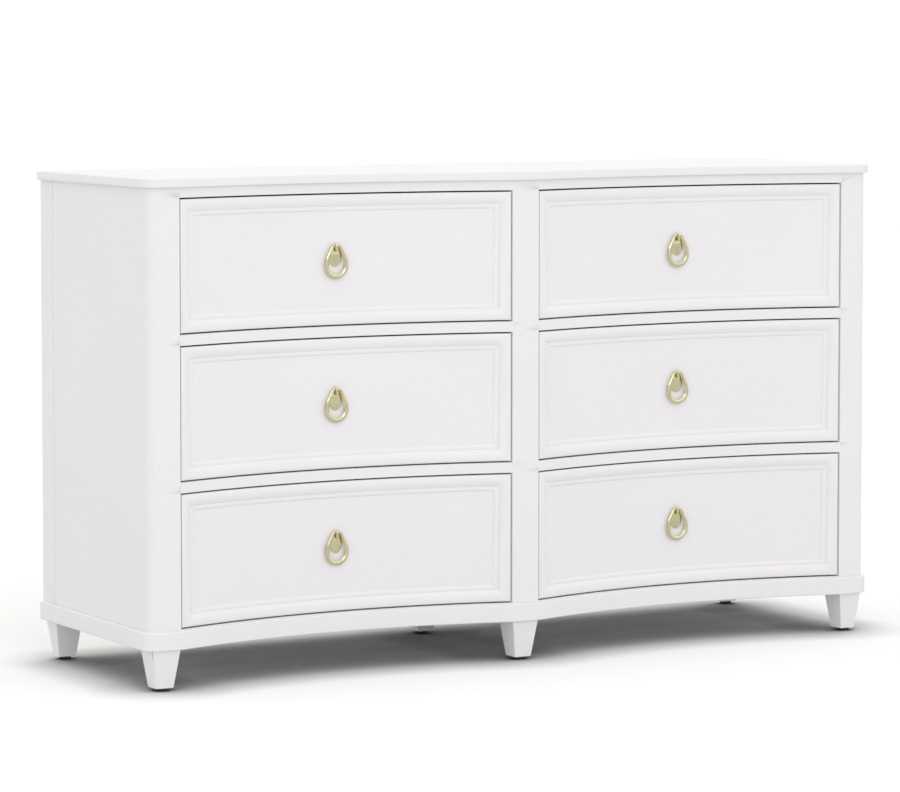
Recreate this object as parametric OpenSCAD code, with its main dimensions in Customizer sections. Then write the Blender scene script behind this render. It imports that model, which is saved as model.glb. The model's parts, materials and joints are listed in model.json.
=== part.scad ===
// Double dresser: two bays of three inset drawers behind a front that bows inward
// in each bay, on a moulded base frame with six short tapered legs.
// Millimetres, +Z up. The origin is on the floor under the middle of the overall box.
// +X runs along the front and the front faces -Y.

/* [Overall] */
// Width of the cabinet across its side panels
case_w = 1508; // [1250:1:1820]
// Depth of the cabinet from the face of the posts to the back
case_d = 456; // [380:1:550]
// Height from the floor to the top surface
height = 892; // [740:1:1075]
// How far each bay of the front bows inward
bow = 52; // [20:1:70]

/* [Top and base] */
// Thickness of the top
top_t = 16; // [12:0.5:30]
// Overhang of the top past the sides and the front
top_over = 8; // [3:0.5:25]
// Height of the base moulding
base_h = 32.5; // [26:0.5:60]
// How far the base moulding stands proud of the cabinet
base_proud = 7; // [2:0.5:20]
// Width of the bars that make the base frame
base_bar = 52; // [40:1:70]
// Strip of the floor panel that shows above the base moulding
floor_reveal = 2; // [0:0.5:8]
// Thickness of the floor panel of the cabinet
floor_t = 16; // [12:0.5:22]

/* [Legs] */
// Height of the tapered wooden legs
leg_h = 67.5; // [40:0.5:120]
// Width of a leg at its top
leg_top = 52; // [42:0.5:60]
// Width of a leg at its foot
leg_foot = 33; // [26:0.5:40]
// Depth of the rear corner legs at their top
rear_leg_d = 45; // [42:0.5:60]
// Distance that the corner legs are set in from the cabinet's sides
leg_inset = 6; // [0:0.5:20]
// Distance that the rear middle leg is set in from the cabinet's back
rear_middle_inset = 42; // [0:1:80]
// Radius of the outer front edge of the corner legs
leg_round = 10; // [4:0.5:14]
// Diameter of the glides
glide_d = 22; // [14:0.5:25]
// Thickness of the glides
glide_h = 6; // [3:0.5:10]

/* [Face frame] */
// Width of the corner posts on the front
post_w = 60; // [45:1:80]
// Depth of the posts and of the middle stile
post_d = 52; // [40:1:70]
// Radius of the outer corner of the front posts
post_round = 20; // [8:0.5:30]
// Width of the middle stile
stile_w = 55; // [44:1:80]
// Thickness of the rails between the drawers
rail_t = 19; // [14:0.5:26]
// Depth of the rails from front to back
rail_d = 44; // [30:1:50]
// Height of the rail under the top
top_rail_h = 18; // [12:0.5:40]

/* [Panels] */
// Thickness of the side panels
side_t = 18; // [12:0.5:22]
// Thickness of the partition between the bays
partition_t = 19; // [12:0.5:24]
// Thickness of the back panel
back_t = 6; // [3:0.5:12]
// Width of the rear posts, seen from the side
back_post_d = 52; // [40:1:70]
// Thickness of the rear posts across the cabinet
back_post_w = 42; // [30:1:60]
// Width of the shadow groove between a side panel and its rear post
groove_w = 1.5; // [0.5:0.1:4]
// Depth of that groove
groove_d = 3; // [1:0.1:6]

/* [Drawers] */
// Gap above and below a drawer front
gap_z = 2.8; // [1.5:0.1:5]
// Gap at each end of a drawer front
gap_x = 2.5; // [1.5:0.1:5]
// Thickness of a drawer front
front_t = 22; // [18:0.5:28]
// Width of the raised border of a drawer front
border_w = 21; // [12:0.5:35]
// Depth of the bead inside the border, below the crest of the border
bead_d = 4; // [1:0.1:5]
// Width of the bead
bead_w = 8.5; // [4:0.5:14]
// Depth of the flat field, below the crest of the border
field_d = 6; // [5:0.1:8]
// Thickness of the sides and back of a drawer box
box_t = 12; // [9:0.5:16]
// Height of the box's lower edge above the front's lower edge
box_lift = 22; // [8:1:30]
// Distance from the box's upper edge down from the front's upper edge
box_drop = 40; // [20:1:60]
// Space between the back of a drawer and the back panel
drawer_back_gap = 41; // [20:1:60]
// Thickness of the drawer bottoms
bottom_t = 5; // [3:0.5:8]
// Height of the drawer bottom above the box's lower edge
bottom_rise = 12; // [8:0.5:20]
// Depth of the groove that holds the drawer bottom
bottom_groove = 6; // [3:0.5:7]
// Glue line between parts of a drawer box
glue_gap = 0.2; // [0.1:0.05:0.5]

/* [Slides] */
// Side space that one ball-bearing slide takes
slide_w = 12.7; // [12.5:0.1:13.5]
// Height of the cabinet member of a slide
slide_h = 45; // [40:1:50]
// Sheet thickness of the slide members
slide_sheet = 1.2; // [1:0.1:1.5]
// Distance of a slide behind the face of the posts
slide_setback = 34; // [28:1:50]
// Shortest distance from a slide's rear end to the cabinet's back
slide_rear = 54; // [54:1:90]
// Height of a slide's middle above the box's lower edge
slide_rise = 70; // [60:1:75]
// Height of the wooden packers behind the slides
packer_h = 60; // [50:1:70]

/* [Pulls] */
// Width of the oval backplate
plate_w = 27; // [20:0.5:36]
// Height of the oval backplate
plate_h = 40; // [30:0.5:50]
// Thickness of the backplate
plate_t = 2.4; // [1.5:0.1:3]
// Height of the backplate's middle above the middle of the drawer front
plate_rise = 7; // [0:0.5:12]
// Height of the ring's pivot above the middle of the drawer front
pivot_rise = 25; // [18:0.5:32]
// Distance of the ring's pivot from the face of the drawer's field
pivot_out = 6.2; // [5.5:0.1:12]
// Thickness of the ring, and the width of its bar at the top
ring_bar = 4.2; // [3:0.1:5]
// Width of the ring's bar at its sides and bottom
ring_low_w = 8.2; // [4.2:0.1:9]
// Overall width of the ring
ring_w = 47; // [36:0.5:60]
// Distance from the pivot down to the lowest point of the ring
ring_drop = 59.4; // [50:0.1:77]
// Radius of the eye that the ring hangs in
eye_r = 4.2; // [3.8:0.1:5.2]
// Radial play of the ring in its eye
eye_play = 0.3; // [0.2:0.05:0.6]
// Diameter of the fixing screw
screw_d = 4; // [3:0.5:5]

/* [Hidden] */
BAYS = ["left", "right"];
ROWS = ["bottom", "middle", "top"];
function tag(b, r) = str(BAYS[b], "_", ROWS[r]);
DRAWER_PIECES = ["drawer_front_", "drawer_box_", "drawer_bottom_", "drawer_runners_",
                 "slide_middle_", "pull_base_", "pull_ring_"];

paint = [0.93, 0.93, 0.92];
birch = [0.84, 0.73, 0.56];
zinc = [0.70, 0.71, 0.73];
gold = [0.80, 0.72, 0.48];
black = [0.12, 0.12, 0.12];
eps = 0.01;
cut = 1; // how far a cut runs past what it cuts
fine = 360; // sides of a circle that a bow is an arc of
small = 32; // sides of a thin bar, a screw or a leg's corner

// Heights, from the floor up
base_z = glide_h + leg_h;
floor_top = base_z + base_h + floor_reveal;
floor_z = floor_top - floor_t;
top_z = height - top_t;
top_rail_z = top_z - top_rail_h;
opening_h = (top_rail_z - floor_top - 2 * rail_t) / 3;
function row_z(r) = floor_top + r * (opening_h + rail_t);

// Depth, from the front back
y_front = (top_over - case_d) / 2;
y_back = y_front + case_d;
y_back_panel = y_back - back_t;
y_frame = y_front + post_d;

// Width
half_w = case_w / 2;
opening_w = half_w - post_w - stile_w / 2;
function side_of(b) = 2 * b - 1;
function bay_x(b) = side_of(b) * (stile_w + opening_w) / 2;

// The bow of one bay is an arc through the ends of its opening
bow_r = (pow(opening_w / 2, 2) + pow(bow, 2)) / (2 * bow);
bow_y = y_front + bow - bow_r;

// Drawer fronts and boxes
front_w = opening_w - 2 * gap_x;
front_h = opening_h - 2 * gap_z;
box_w = opening_w - 2 * slide_w;
box_in_w = box_w - 2 * box_t;
box_h = front_h - box_lift - box_drop;
box_back_y = y_back_panel - drawer_back_gap;
function front_z(r) = row_z(r) + gap_z;
function box_z(r) = front_z(r) + box_lift;
function middle_z(r) = front_z(r) + front_h / 2;
groove_clear = 0.2;

// Slides come in steps of 50 mm
slide_step = 50;
slide_len = slide_step * floor((case_d - slide_setback - slide_rear) / slide_step);
slide_y = y_front + slide_setback;
function slide_z(r) = box_z(r) + slide_rise;
slide_play = 2; // room for the balls above and below each member
slide_lap = 0.6; // free space between two members, web to web
middle_h = slide_h - 2 * (slide_sheet + slide_play);
runner_h = middle_h - 2 * (slide_sheet + slide_play + slide_lap);
cabinet_reach = slide_w - 3 * slide_sheet;
middle_x = slide_sheet + slide_lap;
middle_reach = cabinet_reach - slide_sheet / 2 - slide_lap;
runner_reach = slide_w - 2 * middle_x - slide_lap;

// Pulls. The flat backplate bears on the hollow field along its two sides.
field_y = y_front + bow + field_d;
seat_y = bow_y + sqrt(pow(bow_r + field_d, 2) - pow(plate_w / 2, 2));
front_back_y = y_front + bow + front_t;
pivot_y = field_y - pivot_out;
plate_sides = 60;
screw_clear = 0.5;
screw_head_d = 2.2 * screw_d;
screw_head_h = 0.6 * screw_d;
ring_flat = 3; // half of the ring's straight top
shoulder_r = 7; // the ring's two upper corners
ring_rise = 7; // from the ring's low round up to its middle one
ring_slim = 1.1; // how much smaller the middle round is
ring_less = 1.2; // how much narrower the bar is beside it
ring_end = 3.6; // half of the turned stretch that lies in the eye
ring_lap = 1; // how far the turned stretch runs on into the cast ring
pin_play = 0.15; // how much finer the turned stretch is than the ring
post_r = 2.9; // the stem that holds the eye off the plate
drop_tip_r = 1.6; // the tip of the drop under the eye
drop_len = 11;
drop_lean = 8; // degrees that the drop leans out at its tip

// Outline of the cabinet grown by p, with round front corners and a bow in each bay
module case_outline(p, corner) {
    difference() {
        translate([-half_w - p, y_front - p]) square([case_w + 2 * p, case_d + p]);
        for (s = [-1, 1])
            translate([s * (half_w + p), y_front - p]) corner_waste(s, corner);
        for (b = [0:1])
            translate([bay_x(b), bow_y]) circle(r = bow_r - p, $fn = fine);
    }
}

// What a round of radius r takes off the outer front corner on side s
module corner_waste(s, r) {
    difference() {
        translate([s > 0 ? -r : -cut, -cut]) square([r + cut, r + cut]);
        translate([-s * r, r]) circle(r = r, $fn = 64);
    }
}

// A plate cut to that outline
module case_plate(p, corner, z, t) {
    translate([0, 0, z]) linear_extrude(t) case_outline(p, corner);
}

// An upright cylinder about the centre of one bay's bow
module bow_drum(b, r, z, h) {
    translate([bay_x(b), bow_y, z]) cylinder(r = r, h = h, $fn = fine);
}

// A band that follows the bow of bay b: w wide, d deep, starting s behind the face
module bow_band(b, w, s, d, z, h) {
    intersection() {
        difference() {
            bow_drum(b, bow_r + s + d, z, h);
            bow_drum(b, bow_r + s, z - cut, h + 2 * cut);
        }
        translate([bay_x(b) - w / 2, y_front, z]) cube([w, bow + s + d + cut, h]);
    }
}

// Box given by two opposite corners
module block(a, b) {
    translate([min(a.x, b.x), min(a.y, b.y), min(a.z, b.z)])
        cube([abs(b.x - a.x), abs(b.y - a.y), abs(b.z - a.z)]);
}

module top_panel() color(paint) case_plate(top_over, post_round + top_over, top_z, top_t);

module floor_panel() color(paint) case_plate(0, post_round, floor_z, floor_t);

module base_moulding() color(paint) {
    difference() {
        case_plate(base_proud, post_round + base_proud, base_z, base_h);
        case_plate(0, post_round, floor_z, floor_t + cut);
        for (b = [0:1]) base_well(b);
    }
}

// The open space of one bay inside the base frame
module base_well(b) {
    s = side_of(b);
    difference() {
        block([s * base_bar / 2, y_front + base_bar, base_z - cut],
              [s * (half_w - base_bar), y_back - base_bar, floor_z + eps]);
        bow_drum(b, bow_r + base_bar, base_z - 2 * cut, base_h + 4 * cut);
    }
}

module side_panel(s) color(paint) {
    y_rear = y_back - back_post_d;
    difference() {
        block([s * (half_w - side_t), y_frame, floor_top], [s * half_w, y_rear, top_z]);
        block([s * (half_w - groove_d), y_rear - groove_w, floor_top - cut],
              [s * (half_w + cut), y_rear + cut, top_z + cut]);
    }
}
module side_panel_left() side_panel(-1);
module side_panel_right() side_panel(1);

module back_panel() color(birch) {
    x = half_w - back_post_w;
    block([-x, y_back_panel, floor_top], [x, y_back, top_z]);
}

module centre_partition() color(paint)
    block([-partition_t / 2, y_frame, floor_top], [partition_t / 2, y_back_panel, top_z]);

module front_post(s) color(paint) {
    x_in = half_w - post_w;
    translate([0, 0, floor_top]) linear_extrude(top_z - floor_top) difference() {
        translate([s > 0 ? x_in : -half_w, y_front]) square([post_w, post_d]);
        translate([s * half_w, y_front]) corner_waste(s, post_round);
    }
}
module front_post_left() front_post(-1);
module front_post_right() front_post(1);

module centre_stile() color(paint)
    block([-stile_w / 2, y_front, floor_top], [stile_w / 2, y_frame, top_z]);

module back_posts() color(paint)
    for (s = [-1, 1])
        block([s * (half_w - back_post_w), y_back - back_post_d, floor_top],
              [s * half_w, y_back, top_z]);

module top_rails() color(paint)
    for (b = [0:1]) bow_band(b, opening_w, 0, rail_d, top_rail_z, top_rail_h);

module drawer_rails() color(paint)
    for (b = [0:1], r = [1, 2]) bow_band(b, opening_w, 0, rail_d, row_z(r) - rail_t, rail_t);

// One tapered leg, its plan a square with round edges at the corners listed
module leg(x, y, w, d, rounds) {
    foot = [w - leg_top + leg_foot, d - leg_top + leg_foot];
    translate([x, y, glide_h]) hull() {
        linear_extrude(eps) leg_plan(foot.x, foot.y, rounds, leg_round * leg_foot / leg_top);
        translate([0, 0, leg_h - eps]) linear_extrude(eps) leg_plan(w, d, rounds, leg_round);
    }
}

module leg_plan(w, d, rounds, r) {
    difference() {
        square([w, d], center = true);
        for (s = rounds) translate([s * w / 2, -d / 2]) corner_waste_faceted(s, r);
    }
}

module corner_waste_faceted(s, r) {
    difference() {
        translate([s > 0 ? -r : -cut, -cut]) square([r + cut, r + cut]);
        translate([-s * r, r]) circle(r = r, $fn = small);
    }
}

leg_x = half_w - leg_inset - leg_top / 2;
front_leg_y = y_front + leg_top / 2;
rear_leg_y = y_back - rear_leg_d / 2;
rear_middle_y = y_back - rear_middle_inset - leg_top / 2;

module front_legs() color(paint) {
    for (s = [-1, 1]) leg(s * leg_x, front_leg_y, leg_top, leg_top, [s]);
    leg(0, front_leg_y, leg_top, leg_top, []);
}

module back_legs() color(paint) {
    for (s = [-1, 1]) leg(s * leg_x, rear_leg_y, leg_top, rear_leg_d, []);
    leg(0, rear_middle_y, leg_top, leg_top, []);
}

module glides() color(black) {
    for (s = [-1, 0, 1]) {
        translate([s * leg_x, front_leg_y]) glide();
        translate([s * leg_x, s == 0 ? rear_middle_y : rear_leg_y]) glide();
    }
}
module glide() cylinder(d = glide_d, h = glide_h, $fn = 48);

// Packers bring each slide's mounting face flush with the edge of its opening
module slide_packers() color(birch) {
    for (b = [0:1], r = [0:2]) {
        s = side_of(b);
        z = slide_z(r) - packer_h / 2;
        y_end = slide_y + slide_len;
        block([s * (half_w - post_w), y_frame, z], [s * (half_w - side_t), y_end, z + packer_h]);
        block([s * partition_t / 2, y_frame, z], [s * stile_w / 2, y_end, z + packer_h]);
    }
}

// A channel along Y: its web faces -X at x = 0 and its flanges reach to x = d
module channel(h, d) {
    difference() {
        translate([0, slide_y, -h / 2]) cube([d, slide_len, h]);
        translate([slide_sheet, slide_y - cut, slide_sheet - h / 2])
            cube([d, slide_len + 2 * cut, h - 2 * slide_sheet]);
    }
}

// Puts a slide member at both sides of a drawer opening; x is measured from the cabinet side
module both_sides(b, r) {
    translate([bay_x(b), 0, slide_z(r)]) for (s = [0, 1])
        mirror([s, 0, 0]) translate([-opening_w / 2, 0, 0]) children();
}

module cabinet_slides() color(zinc)
    for (b = [0:1], r = [0:2]) both_sides(b, r) channel(slide_h, cabinet_reach);

module slide_middle(b, r) color(zinc)
    both_sides(b, r) translate([middle_x, 0, 0]) channel(middle_h, middle_reach);

module drawer_runners(b, r) color(zinc)
    both_sides(b, r) translate([slide_w, 0, 0]) mirror([1, 0, 0])
        channel(runner_h, runner_reach);

module drawer_front(b, r) color(paint) {
    z = front_z(r);
    field_in = border_w + bead_w;
    difference() {
        bow_band(b, front_w, 0, front_t, z, front_h);
        sunk_field(b, border_w, bead_d, z);
        sunk_field(b, field_in, field_d, z);
        intersection() {
            bow_band(b, box_in_w + 2 * bottom_groove, front_t - bottom_groove,
                     bottom_groove + cut, z, front_h);
            bottom_slot(b, r);
        }
        translate([bay_x(b), field_y - cut, middle_z(r) + plate_rise]) rotate([-90, 0, 0])
            cylinder(d = screw_d + screw_clear, h = front_t + 2 * cut, $fn = small);
    }
}

// The sinking d deep that starts m in from the edges of a drawer front
module sunk_field(b, m, d, z) {
    intersection() {
        bow_drum(b, bow_r + d, z + m, front_h - 2 * m);
        block([bay_x(b) - front_w / 2 + m, y_front - cut, z],
              [bay_x(b) + front_w / 2 - m, y_front + bow + front_t, z + front_h]);
    }
}

// The slot round a drawer that its bottom slides into
module bottom_slot(b, r) {
    w = box_in_w / 2 + bottom_groove;
    z = box_z(r) + bottom_rise;
    block([bay_x(b) - w, y_front, z],
          [bay_x(b) + w, box_back_y - box_t + bottom_groove, z + bottom_t + groove_clear]);
}

// Two sides and a back, coped to the bowed back face of the drawer front
module drawer_box(b, r) color(birch) {
    z = box_z(r);
    difference() {
        union() {
            for (s = [-1, 1])
                block([bay_x(b) + s * box_in_w / 2, y_front, z],
                      [bay_x(b) + s * box_w / 2, box_back_y, z + box_h]);
            block([bay_x(b) - box_in_w / 2 + glue_gap, box_back_y - box_t, z],
                  [bay_x(b) + box_in_w / 2 - glue_gap, box_back_y, z + box_h]);
        }
        bow_drum(b, bow_r + front_t, z - cut, box_h + 2 * cut);
        bottom_slot(b, r);
    }
}

module drawer_bottom(b, r) color(birch) {
    w = box_in_w / 2 + bottom_groove - groove_clear;
    z = box_z(r) + bottom_rise;
    difference() {
        block([bay_x(b) - w, y_front, z],
              [bay_x(b) + w, box_back_y - box_t + bottom_groove - groove_clear, z + bottom_t]);
        bow_drum(b, bow_r + front_t - bottom_groove + groove_clear, z - cut,
                 bottom_t + 2 * cut);
    }
}

// Points of an ellipse
function ellipse(w, h, n) = [for (i = [0:n - 1]) [w / 2 * cos(360 * i / n), h / 2 * sin(360 * i / n)]];

// Oval backplate with the eye that carries the ring, and the screw that holds it
module pull_base(b, r) color(gold) {
    plate_z = middle_z(r) + plate_rise;
    translate([bay_x(b), 0, 0]) {
        difference() {
            union() {
                translate([0, seat_y, plate_z]) rotate([90, 0, 0])
                    linear_extrude(plate_t) polygon(ellipse(plate_w, plate_h, plate_sides));
                translate([0, pivot_y, middle_z(r) + pivot_rise]) eye();
            }
            translate([0, pivot_y, middle_z(r) + pivot_rise]) rotate([0, 90, 0])
                cylinder(r = ring_bar / 2 + eye_play, h = 4 * eye_r, center = true, $fn = 48);
        }
        translate([0, seat_y, plate_z]) rotate([-90, 0, 0])
            cylinder(d = screw_d, h = front_back_y - seat_y, $fn = small);
        translate([0, front_back_y, plate_z]) rotate([-90, 0, 0])
            cylinder(d = screw_head_d, h = screw_head_h, $fn = small);
    }
}

// The eye about the ring's pivot, with its stem to the plate and its drop
module eye() {
    sphere(r = eye_r, $fn = 64);
    rotate([-90, 0, 0]) cylinder(r = post_r, h = seat_y - plate_t / 2 - pivot_y, $fn = 48);
    rotate([180 - drop_lean, 0, 0])
        cylinder(r1 = post_r, r2 = drop_tip_r, h = drop_len, $fn = 48);
}

// Drop-shaped cast ring, narrow at its shoulders and wider below. The stretch that lies in
// the eye is turned round.
module pull_ring(b, r) color(gold) {
    mid_r = ring_w / 2 - ring_slim;
    translate([bay_x(b), pivot_y, middle_z(r) + pivot_rise]) rotate([90, 0, 0]) {
        difference() {
            translate([0, 0, -ring_bar / 2]) linear_extrude(ring_bar) difference() {
                drop_outline(ring_bar / 2, mid_r, ring_w / 2);
                drop_outline(-ring_bar / 2, mid_r - ring_low_w + ring_less, ring_w / 2 - ring_low_w);
            }
            translate([-ring_end, -ring_bar, -ring_bar]) cube([2 * ring_end, 2 * ring_bar, 2 * ring_bar]);
        }
        rotate([0, 90, 0]) cylinder(d = ring_bar - pin_play, h = 2 * (ring_end + ring_lap),
                                    center = true, $fn = small);
    }
}

// A drop: two shoulders grown by p from the bar's middle line, and two rounds below them
module drop_outline(p, mid_r, low_r) {
    low = ring_w / 2 - ring_drop;
    hull() {
        for (s = [-1, 1])
            translate([s * ring_flat, -shoulder_r]) circle(r = shoulder_r + p, $fn = 64);
        translate([0, low + ring_rise]) circle(r = mid_r, $fn = 96);
        translate([0, low]) circle(r = low_r, $fn = 96);
    }
}

top_panel();
side_panel_left();
side_panel_right();
back_panel();
floor_panel();
centre_partition();
front_post_left();
front_post_right();
centre_stile();
back_posts();
top_rails();
drawer_rails();
base_moulding();
front_legs();
back_legs();
glides();
slide_packers();
cabinet_slides();
for (b = [0:1], r = [0:2]) {
    drawer_front(b, r);
    drawer_box(b, r);
    drawer_bottom(b, r);
    drawer_runners(b, r);
    slide_middle(b, r);
    pull_base(b, r);
    pull_ring(b, r);
}
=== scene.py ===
# %% [markdown]
# # A double dresser with bowed-in fronts
# The dresser is a painted case with two bays of three drawers. In each bay the front bows
# inward between two posts, so the top, the rails, the base moulding and the drawer fronts
# all follow one arc. The case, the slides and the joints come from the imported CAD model. This
# script adds what the eye and the hand meet: eased edges, the moulded drawer fronts, the cast
# pulls, the screws and ball races, and every finish.

# %% Load the frame
import json
import math

import bmesh
import bpy
from mathutils import Matrix, Vector


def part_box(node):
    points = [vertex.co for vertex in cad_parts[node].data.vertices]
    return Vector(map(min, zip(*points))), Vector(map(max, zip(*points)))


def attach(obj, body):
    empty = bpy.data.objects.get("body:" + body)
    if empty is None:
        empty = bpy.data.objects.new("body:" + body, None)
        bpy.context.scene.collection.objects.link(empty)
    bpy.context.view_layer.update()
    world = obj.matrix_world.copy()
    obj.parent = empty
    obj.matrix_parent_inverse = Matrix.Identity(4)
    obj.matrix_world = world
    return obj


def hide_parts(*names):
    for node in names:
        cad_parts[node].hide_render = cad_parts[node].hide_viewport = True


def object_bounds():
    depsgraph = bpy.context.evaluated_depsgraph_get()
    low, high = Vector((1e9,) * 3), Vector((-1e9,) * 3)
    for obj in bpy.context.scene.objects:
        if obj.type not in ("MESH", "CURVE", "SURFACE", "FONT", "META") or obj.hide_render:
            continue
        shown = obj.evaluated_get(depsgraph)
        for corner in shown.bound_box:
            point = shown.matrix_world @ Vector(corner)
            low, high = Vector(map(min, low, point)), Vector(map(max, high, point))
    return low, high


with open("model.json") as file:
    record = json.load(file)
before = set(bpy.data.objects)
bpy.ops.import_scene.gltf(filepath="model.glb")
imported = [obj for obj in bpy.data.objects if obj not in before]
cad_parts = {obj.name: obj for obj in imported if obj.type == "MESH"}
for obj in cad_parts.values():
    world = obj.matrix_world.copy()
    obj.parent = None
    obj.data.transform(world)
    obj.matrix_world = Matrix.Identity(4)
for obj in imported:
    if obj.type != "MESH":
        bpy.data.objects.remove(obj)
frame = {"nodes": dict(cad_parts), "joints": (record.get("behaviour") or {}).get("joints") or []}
cad_lo, cad_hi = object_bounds()


def placed(name, data):
    """Puts an object that shows the data in the scene."""
    obj = bpy.data.objects.new(name, data)
    bpy.context.scene.collection.objects.link(obj)
    return obj


print("CAD box", [round(c, 4) for c in (*cad_lo, *cad_hi)])

# %% [markdown]
# ## Sizes
# Every place is read from the frame, so that a changed case carries its looks with it. Only the
# bow can't be read from a box. It is measured on the rail under the top, as the distance from
# the posts' face back to the rail's face in the middle of a bay.

# %% Read the sizes
MM = 0.001
BAYS = ("left", "right")
ROWS = ("top", "middle", "bottom")
DRAWERS = [f"{bay}_{row}" for bay in BAYS for row in ROWS]
JOINTS = {j["name"]: j for j in frame["joints"]}

post_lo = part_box("front_post_right")[0]
stile_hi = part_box("centre_stile")[1]
face_y = post_lo.y
opening_w = post_lo.x - stile_hi.x
bay_shift = (post_lo.x + stile_hi.x) / 2
BAY_X = {"left": -bay_shift, "right": bay_shift}


def measured_bow():
    """How far the rail under the top lies behind the posts' face in the middle of a bay."""
    near = 20 * MM
    ys = [v.co.y for v in frame["nodes"]["top_rails"].data.vertices
          if abs(v.co.x - bay_shift) < near]
    return min(ys) - face_y


bow = measured_bow()
bow_r = ((opening_w / 2) ** 2 + bow ** 2) / (2 * bow)
bow_centre_y = face_y + bow - bow_r


def bow_y(dx, behind=0.0):
    """The y of the bowed face at dx from a bay's middle, `behind` metres behind the face."""
    return bow_centre_y + math.sqrt((bow_r + behind) ** 2 - dx ** 2)


print(f"openings {opening_w:.4f} m wide, bow {bow:.4f} m, bow radius {bow_r:.3f} m")

# %% [markdown]
# ## Camera
# A long lens from the front left, a little above the top, shows the front, the left side and
# only a sliver of the top. The camera is set before anything is made, so that every piece can
# be judged in the frame it will be seen in. A small shift keeps the uprights nearly parallel.

# %% Place the camera
CAMERA_AT = Vector((-3.7115, -6.4926, 1.1512))
CAMERA_TURN = 0.51568
CAMERA_DIP = 0.06752
camera_data = bpy.data.cameras.new("camera")
camera_data.sensor_width = 36
camera_data.lens = 161.18
camera_data.shift_y = -0.1067
camera_data.clip_end = 60
camera = placed("camera", camera_data)
camera.location = CAMERA_AT
camera.rotation_euler = (math.pi / 2 - CAMERA_DIP, 0, -CAMERA_TURN)
bpy.context.scene.camera = camera
print("camera", [round(c, 3) for c in CAMERA_AT], "lens", camera_data.lens)

# %% [markdown]
# ## Writing nodes
# Every finish below is a node tree written in code. One helper adds a node, sets its options
# and either fills its inputs or links them, so a finish reads as a list of what it is made of.
# The other helper opens a node group, which is how one effect is shared by several finishes.

# %% Node helpers
def put(tree, kind, inputs=None, **options):
    """Adds a node. An input is filled with a plain value, or linked if it's a socket."""
    node = tree.nodes.new(kind)
    for name, value in options.items():
        setattr(node, name, value)
    for name, value in (inputs or {}).items():
        if isinstance(value, bpy.types.NodeSocket):
            tree.links.new(value, node.inputs[name])
        else:
            node.inputs[name].default_value = value
    return node


def math_node(tree, operation, a, b):
    return put(tree, "ShaderNodeMath", {0: a, 1: b}, operation=operation).outputs[0]


def open_group(name, kind, inputs, outputs):
    """A new node group with named sockets: (name, socket type, default) and (name, type)."""
    group = bpy.data.node_groups.new(name, kind)
    for socket, of_type, default in inputs:
        made = group.interface.new_socket(socket, in_out="INPUT", socket_type=of_type)
        if default is not None:
            made.default_value = default
    for socket, of_type in outputs:
        group.interface.new_socket(socket, in_out="OUTPUT", socket_type=of_type)
    return group, put(group, "NodeGroupInput").outputs


def noise(tree, vector, scale, detail):
    return put(tree, "ShaderNodeTexNoise", {
        "Vector": vector, "Scale": scale, "Detail": detail}).outputs[0]


def stretched(tree, vector, scale):
    return put(tree, "ShaderNodeMapping", {"Vector": vector, "Scale": scale}).outputs[0]


def close_group(group, **outputs):
    """Links the group's results, named in words joined by underscores, to its outputs."""
    end = put(group, "NodeGroupOutput")
    for name, socket in outputs.items():
        group.links.new(socket, end.inputs[name])
    print("group", group.name, "with", len(group.nodes), "nodes")
    return group


# %% [markdown]
# ## Studio
# The dresser stands on a white floor in a white room. Most of the light falls from above, and
# the floor returns less than it gets, so a face that looks up is brighter than one that looks
# down: that is what draws the mouldings. The room could be a box with lamps in it, but a world
# shader lights evenly from every side and needs no mesh. Polished brass needs something dark
# to reflect, so in reflections the floor is darker, and the far left of the room holds a
# black flag. For the camera alone, the backdrop is pure white, and so is the floor, except
# where an ambient occlusion node darkens its colour under and around the dresser: that is a
# painted shadow, laid over the real one to deepen it.

# %% Room and floor
FLOOR_SIZE = 60.0
FLOOR_RETURNS = 0.72
FLOOR_IN_BRASS = 0.64
FLOOR_SEEN = 0.97
# How far the floor's painted shadow reaches, and how dark its colour gets where it is deepest.
SHADE_REACH = 0.12
SHADE_CORE = 0.02
HORIZON = 1.0
ZENITH = 1.09
BACKDROP = 1.1
FLAG_DARK = 0.95
KEY_AT = (-1.2, -4.4, 2.4)
KEY_SIZE = 2.0
KEY_WATTS = 21


def make_floor():
    mesh = bpy.data.meshes.new("floor")
    h = FLOOR_SIZE / 2
    mesh.from_pydata([(-h, -h, 0), (h, -h, 0), (h, h, 0), (-h, h, 0)], [], [(0, 1, 2, 3)])
    material = bpy.data.materials.new("floor_white")
    material.use_nodes = True
    tree = material.node_tree
    tree.nodes.clear()
    # Painted shadow: for the camera, ambient occlusion darkens the floor's colour under and near
    # the dresser.
    painted_shadow_ao = put(tree, "ShaderNodeAmbientOcclusion", {"Distance": SHADE_REACH}).outputs["AO"]
    seen = put(tree, "ShaderNodeMapRange", {
        "Value": painted_shadow_ao, "From Min": 0.2, "To Min": SHADE_CORE * FLOOR_SEEN,
        "To Max": FLOOR_SEEN})
    ray = put(tree, "ShaderNodeLightPath").outputs
    mirrored = put(tree, "ShaderNodeMix", {
        "Factor": ray["Is Glossy Ray"], "A": FLOOR_RETURNS, "B": FLOOR_IN_BRASS},
        data_type="FLOAT")
    tone = put(tree, "ShaderNodeMix", {
        "Factor": ray["Is Camera Ray"], "A": mirrored.outputs[0], "B": seen.outputs[0]},
        data_type="FLOAT")
    surface = put(tree, "ShaderNodeBsdfDiffuse", {"Color": tone.outputs[0]})
    put(tree, "ShaderNodeOutputMaterial", {"Surface": surface.outputs[0]})
    mesh.materials.append(material)
    floor = placed("floor", mesh)


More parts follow.
